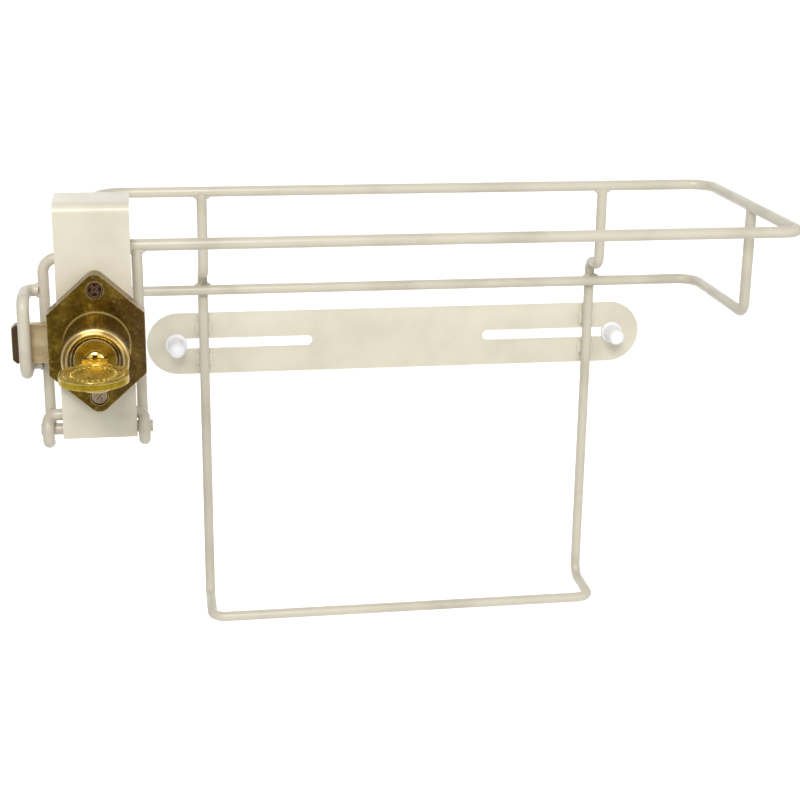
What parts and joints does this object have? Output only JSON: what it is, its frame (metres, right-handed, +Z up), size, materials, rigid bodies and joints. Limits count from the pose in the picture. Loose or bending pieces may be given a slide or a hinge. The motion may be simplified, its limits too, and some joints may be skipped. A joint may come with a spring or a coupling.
{
  "type": "locking wire wall bracket",
  "caption": "Coated wire wall bracket: a box-holding ring and cradle on a slotted plate, with a hinged strap gate held by a keyed deadbolt in a wire keeper.",
  "frame": {"origin": "centre of the mounting plate's rear face, on the wall plane", "axes": "+X along the plate to the viewer's right, +Z up, +Y into the wall; the bracket reaches out along -Y"},
  "size_m": [0.3423, 0.2215, 0.242],
  "materials": {
    "coated_wire": "smooth cream powder coat on bent wire, semi-gloss",
    "coated_sheet": "cream powder coat on flat steel, satin with faint orange peel",
    "white_nylon": "moulded white nylon",
    "dichromate_case": "yellow zinc dichromate over cast metal, mottled",
    "lock_brass": "turned brass, satin",
    "bright_bezel": "polished brass edge",
    "bolt_brass": "drawn brass, dull",
    "key_brass": "stamped brass, bright",
    "inner_steel": "plain steel"
  },
  "bodies": {
    "bracket": {"top_ring": "coated_wire", "lower_rail": "coated_wire", "cradle_wire": "coated_wire", "mount_plate": "coated_sheet", "plug_left": "white_nylon", "plug_right": "white_nylon", "leg_left": "coated_wire", "leg_right": "coated_wire", "hinge_rod": "coated_wire", "keeper_staple": "coated_wire"},
    "gate": {"gate_strap": "coated_sheet", "hinge_hooks": "coated_wire", "lock_case": "dichromate_case", "case_cover": "dichromate_case", "lock_barrel": "dichromate_case", "bezel_ring": "bright_bezel", "screw_upper": "dichromate_case", "screw_lower": "dichromate_case", "driver_pins": "lock_brass", "pin_springs": "inner_steel", "pin_cover": "lock_brass"},
    "plug": {"lock_plug": "lock_brass", "key_pins": "lock_brass", "lock_cam": "inner_steel"},
    "bolt": {"lock_bolt": "bolt_brass"},
    "key": {"lock_key": "key_brass"}
  },
  "joints": [
    {"name": "gate_hinge", "type": "hinge", "parent": "bracket", "child": "gate", "pos_m": [-0.1497, -0.14695, 0.005], "axis": [1, 0, 0], "range_deg": [0, 1]},
    {"name": "plug_turn", "type": "hinge", "parent": "gate", "child": "plug", "pos_m": [-0.1492, -0.17, 0.045], "axis": [0, 1, 0], "range_deg": [0, 90]},
    {"name": "bolt_slide", "type": "slide", "parent": "gate", "child": "bolt", "axis": [1, 0, 0], "range_m": [0, 0.014]},
    {"name": "key_slide", "type": "slide", "parent": "plug", "child": "key", "axis": [0, -1, 0], "range_m": [0, 0.026]}
  ],
  "couplings": [
    {"joint": "plug_turn", "follows": "bolt_slide", "rad_per_m": 112.2}
  ]
}
